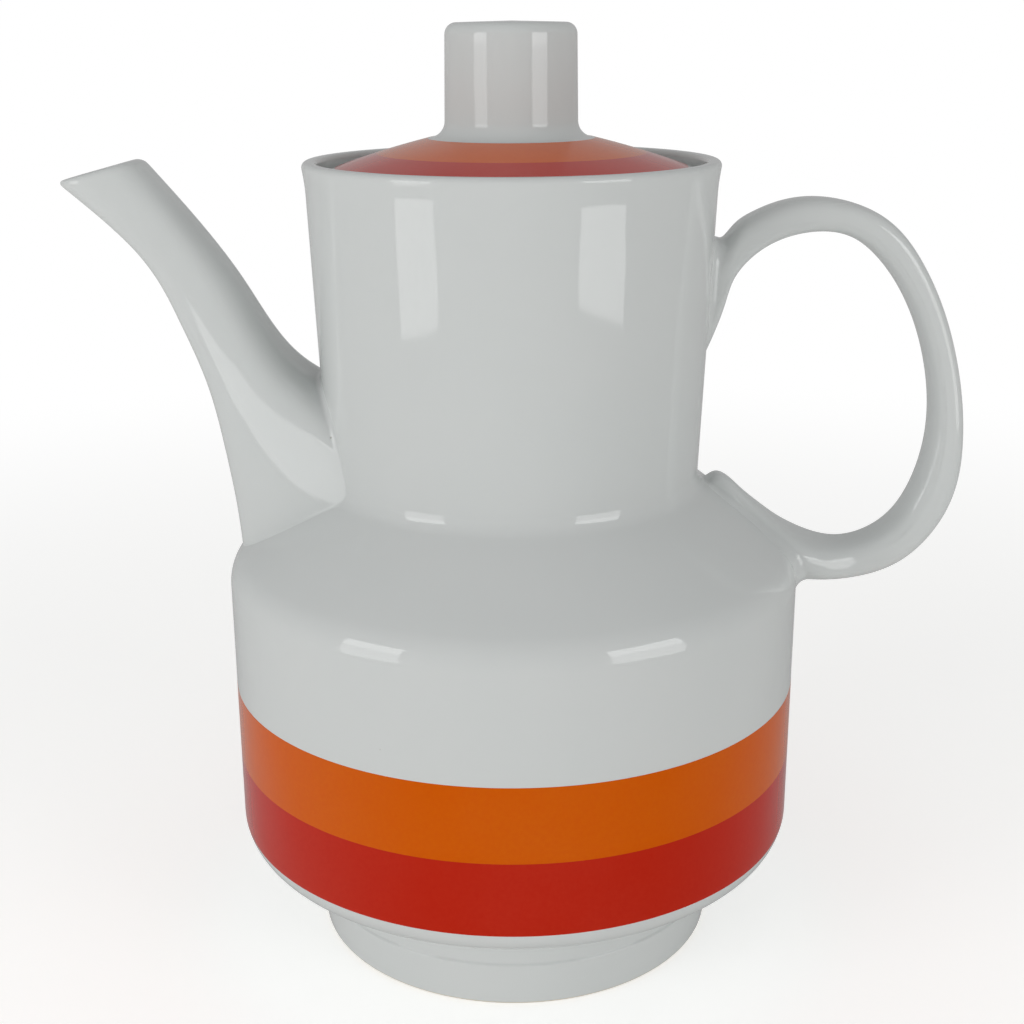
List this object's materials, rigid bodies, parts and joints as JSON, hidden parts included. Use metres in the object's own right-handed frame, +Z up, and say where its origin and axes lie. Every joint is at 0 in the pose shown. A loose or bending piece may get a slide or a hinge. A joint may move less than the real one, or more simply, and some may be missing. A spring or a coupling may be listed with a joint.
{
  "type": "coffee pot",
  "caption": "Tall porcelain coffee pot with cylindrical belly on a foot ring, sloping shoulder, wide neck, swan spout, ear handle and a sunk lift-off lid with a cylindrical knob; enamel bands.",
  "frame": {"origin": "centre of the foot ring on the surface the pot stands on", "axes": "+Z up along the pot's axis, +X towards the handle, -X towards the spout"},
  "size_m": [0.1959, 0.1274, 0.204],
  "materials": {
    "porcelain": "clear glossy glaze on white porcelain",
    "orange_enamel": "glossy fired enamel",
    "red_enamel": "glossy fired enamel"
  },
  "bodies": {
    "pot": {"pot_body": "porcelain", "spout": "porcelain", "handle": "porcelain", "orange_band": "orange_enamel", "red_band": "red_enamel"},
    "lid": {"lid_cover": "porcelain", "lid_knob": "porcelain", "lid_catch": "porcelain", "lid_orange_ring": "orange_enamel", "lid_red_ring": "red_enamel"}
  },
  "joints": [
    {"name": "lid_lift", "type": "slide", "parent": "pot", "child": "lid", "axis": [0, 0, 1], "range_m": [0, 0.12]}
  ]
}
